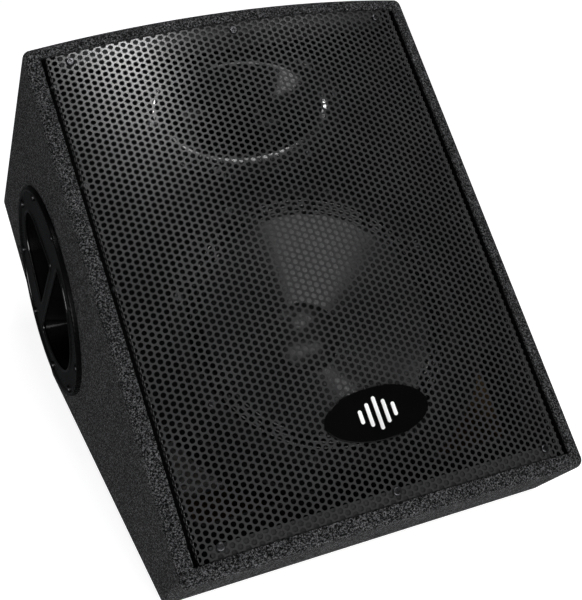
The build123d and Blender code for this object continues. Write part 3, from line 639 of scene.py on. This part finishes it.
# ---------------------------------------------------------------- horn with a rolled mouth
HORN_THROAT = 0.0127
HORN_WALL = 0.0035
LIP_RADIUS = 0.034
LIP_START = radians(66)
RIM_WIDTH = 0.012
RIM_DROP = 0.003
RIM_THICK = 0.005
RIM_EDGE = 0.0008
BACK_SHARE = 0.9
THROAT_FLANGE = 0.045
THROAT_FLANGE_HOLE = 0.0161
THROAT_FLANGE_THICK = 0.006


def make_horn():
    """The oval horn: an exponential flare from round throat to mouth, rolled over into its flange."""
    low, high = local_span("horn")
    middle = (low + high) / 2
    flange = ((high.x - low.x) / 2, (high.y - low.y) / 2)
    roll_out = LIP_RADIUS * cos(LIP_START)
    roll_up = LIP_RADIUS * (1 - sin(LIP_START))
    mouth = (flange[0] - roll_out - RIM_WIDTH, flange[1] - roll_out - RIM_WIDTH)
    mouth_height = high.z - roll_up
    rim_height = high.z - RIM_DROP

    def flare(share, wall=0.0):
        """The flare's section at a share of its length, grown by a wall."""
        wide, tall = (HORN_THROAT * (half / HORN_THROAT) ** share + wall for half in mouth)
        return wide, tall, low.z + (mouth_height - low.z) * share

    def beyond(start, grow, height):
        """A section with the given half widths grown evenly all round."""
        return start[0] + grow, start[1] + grow, height

    sections = [flare(step / 40) for step in range(41)]
    for step in range(1, 9):
        turn = LIP_START + (pi / 2 - LIP_START) * step / 8
        rise = LIP_RADIUS * (sin(turn) - sin(LIP_START))
        sections.append(beyond(mouth, LIP_RADIUS * (cos(LIP_START) - cos(turn)), mouth_height + rise))
    for step_out, step_down in ((0.0020, 0.0003), (0.0026, 0.0012), (0.0028, RIM_DROP)):
        sections.append(beyond(mouth, roll_out + step_out, high.z - step_down))
    sections.append(beyond(flange, -RIM_EDGE, rim_height))
    sections.append(beyond(flange, 0, rim_height - RIM_EDGE))
    sections.append(beyond(flange, 0, rim_height - RIM_THICK))
    sections.append(beyond(mouth, 0.004, rim_height - RIM_THICK))
    sections += [flare(step / 24 * BACK_SHARE, HORN_WALL) for step in range(24, -1, -1)]
    builder = bmesh.new()
    turned(builder, middle, sections, 144)
    hole, reach = THROAT_FLANGE_HOLE, THROAT_FLANGE
    upper = low.z + THROAT_FLANGE_THICK
    plate = [(hole, hole, low.z), (reach, reach, low.z), (reach, reach, upper), (hole, hole, upper)]
    turned(builder, middle, plate, 96)
    bmesh.ops.recalc_face_normals(builder, faces=builder.faces)
    new_piece("horn_body", builder, "horn_plastic", ("horn",))


make_horn()


# ---------------------------------------------------------------- rolled edges of the side plate
RIM_BEAD = 0.0028
MOUTH_BEAD = 0.0020
MOUTH_BEAD_DEPTH = 0.0026
MOUTH_CORNER = 0.012
DISH_ARC = 0.092
BAR_HALF = 0.006
GRIP_FOOT = 0.060
CROWN_RADIUS = 0.0449
CROWN_MIDDLE = 0.0541
CROWN_FROM = 20.7
edge_gloss = moulded("plate_edge_gloss", (0.002, 0.002, 0.002), 0.16, depth=0.00001, Specular_IOR_Level=1.0)


def corner_rounded(points, radius, steps=8):
    """A closed outline with its sharp corners made round; each point is (across, up, sharp)."""
    outline = []
    count = len(points)
    for index, (across, up, sharp) in enumerate(points):
        here = Vector((across, up))
        if not sharp:
            outline.append(here)
            continue
        before = Vector(points[index - 1][:2])
        after = Vector(points[(index + 1) % count][:2])
        start = here + (before - here).normalized() * radius
        end = here + (after - here).normalized() * radius
        for step in range(steps + 1):
            share = step / steps
            outline.append(start.lerp(here, share).lerp(here.lerp(end, share), share))
    return outline


def swept_bead(name, outline, radius, depth, sides=12):
    """A closed round bead along an outline on the left side plate, its middle at a depth from the outside."""
    low, high = local_span("side_plate")
    middle = (low + high) / 2
    outer = low.x + depth
    builder = bmesh.new()
    rings = []
    count = len(outline)
    for index, point in enumerate(outline):
        along = (outline[(index + 1) % count] - outline[index - 1]).normalized()
        away = Vector((along.y, -along.x))
        ring = []
        for step in range(sides):
            turn = 2 * pi * step / sides
            spot = point + away * (radius * cos(turn))
            ring.append(builder.verts.new((outer - radius * sin(turn), middle.y + spot.y, middle.z + spot.x)))
        rings.append(ring)
    skin(builder, rings)
    bmesh.ops.recalc_face_normals(builder, faces=builder.faces)
    bead = new_piece(name, builder, "plate_plastic")
    bead.data.materials[0] = edge_gloss


def arc_points(radius, first, last, steps):
    """Plain points on a circle about the plate's middle, between two angles in degrees."""
    points = []
    for step in range(steps + 1):
        turn = radians(first + (last - first) * step / steps)
        points.append((radius * cos(turn), radius * sin(turn), False))
    return points


def make_plate_edges():
    """Round beads on the plate's outer rim and on the mouths of the pocket and the dish."""
    low, high = local_span("side_plate")
    reach = (high.y - low.y) / 2
    circle = [Vector(point[:2]) for point in arc_points(reach - RIM_BEAD, 0, 357.5, 143)]
    swept_bead("plate_rim_bead", circle, RIM_BEAD, RIM_BEAD)
    crown = arc_points(CROWN_RADIUS, CROWN_FROM, 180 - CROWN_FROM, 32)
    crown = [(across, up + CROWN_MIDDLE, sharp) for across, up, sharp in crown]
    grip = crown + [(-GRIP_FOOT, BAR_HALF, True), (GRIP_FOOT, BAR_HALF, True)]
    swept_bead("grip_mouth_bead", corner_rounded(grip, MOUTH_CORNER), MOUTH_BEAD, MOUTH_BEAD_DEPTH)
    turn_in = degrees(asin(BAR_HALF / DISH_ARC))
    bowl = arc_points(DISH_ARC, -turn_in - 4, -180 + turn_in + 4, 60)
    ends = [(-DISH_ARC, -BAR_HALF, True), (DISH_ARC, -BAR_HALF, True)]
    swept_bead("dish_mouth_bead", corner_rounded(bowl + ends, MOUTH_CORNER), MOUTH_BEAD, MOUTH_BEAD_DEPTH)


make_plate_edges()


# ---------------------------------------------------------------- wadding
PAD_VOXEL = 0.005
PAD_THINNED = 0.003
PAD_LUMPS = 0.0025


def make_wadding(node, piece_name, seed):
    """A matted pad a little inside its node, with an uneven face."""
    source = frame["nodes"][node]
    mesh = source.data.copy()
    mesh.materials.clear()
    mesh.materials.append(finishes["wadding"])
    pad = bpy.data.objects.new(piece_name, mesh)
    bpy.context.scene.collection.objects.link(pad)
    remesh = pad.modifiers.new("even", "REMESH")
    remesh.mode = "VOXEL"
    remesh.voxel_size = PAD_VOXEL
    apply_modifiers(pad)
    for vertex in pad.data.vertices:
        lump = noise.noise(vertex.co * 40 + Vector((seed, 0, 0))) + 0.5 * noise.noise(vertex.co * 110)
        vertex.co -= vertex.normal * (PAD_THINNED - PAD_LUMPS * lump)
    smooth(pad.data, radians(80))
    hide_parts(node)
    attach(pad, "cabinet")


make_wadding("wadding_base", "wadding_pad_base", 3.0)
make_wadding("wadding_side", "wadding_pad_side", 8.0)


# ---------------------------------------------------------------- finishes on the CAD nodes
for node_object in frame["nodes"].values():
    slot_name = node_object.data.materials[0].name.split(".")[0]
    node_object.data.materials.clear()
    node_object.data.materials.append(finishes[slot_name])


# ---------------------------------------------------------------- floor and light
def make_floor():
    """A plain pale studio floor."""
    builder = bmesh.new()
    bmesh.ops.create_grid(builder, x_segments=8, y_segments=8, size=6)
    mesh = bpy.data.meshes.new("studio_floor")
    builder.to_mesh(mesh)
    builder.free()
    floor = bpy.data.objects.new("studio_floor", mesh)
    bpy.context.scene.collection.objects.link(floor)
    finish = Finish(
        "floor_paper", Roughness=0.9, Specular_IOR_Level=0.1, Emission_Color=(1, 1, 1, 1),
        Emission_Strength=0.86,
    )
    fibre = finish.noise(0.4)
    finish.colour(finish.ramp(fibre, (0.3, 0.48), (0.7, 0.50)))
    mesh.materials.append(finish.material)
    floor.visible_glossy = False


def soft_light(name, at, aim, size, power):
    """A rectangular softbox."""
    data = bpy.data.lights.new(name, "AREA")
    data.shape = "RECTANGLE"
    data.size, data.size_y = size
    data.energy = power
    light = bpy.data.objects.new(name, data)
    direction = Vector(aim) - Vector(at)
    light.matrix_world = Matrix.Translation(at) @ direction.to_track_quat("-Z", "Y").to_matrix().to_4x4()
    bpy.context.scene.collection.objects.link(light)


make_floor()
soft_light("overhead", (-0.02, -0.10, 2.5), (0, 0, 0.2), (0.40, 0.28), 17)
soft_light("back_strip", (0.90, 0.62, 2.4), (0, 0, 0.3), (1.2, 0.34), 13)
soft_light("front_panel", (-0.45, -2.9, 1.0), (0, 0, 0.25), (4.8, 1.5), 90)
world = bpy.data.worlds.new("studio")
world.use_nodes = True
world.node_tree.nodes["Background"].inputs["Color"].default_value = (0.8, 0.83, 0.88, 1)
world.node_tree.nodes["Background"].inputs["Strength"].default_value = 0.04
bpy.context.scene.world = world
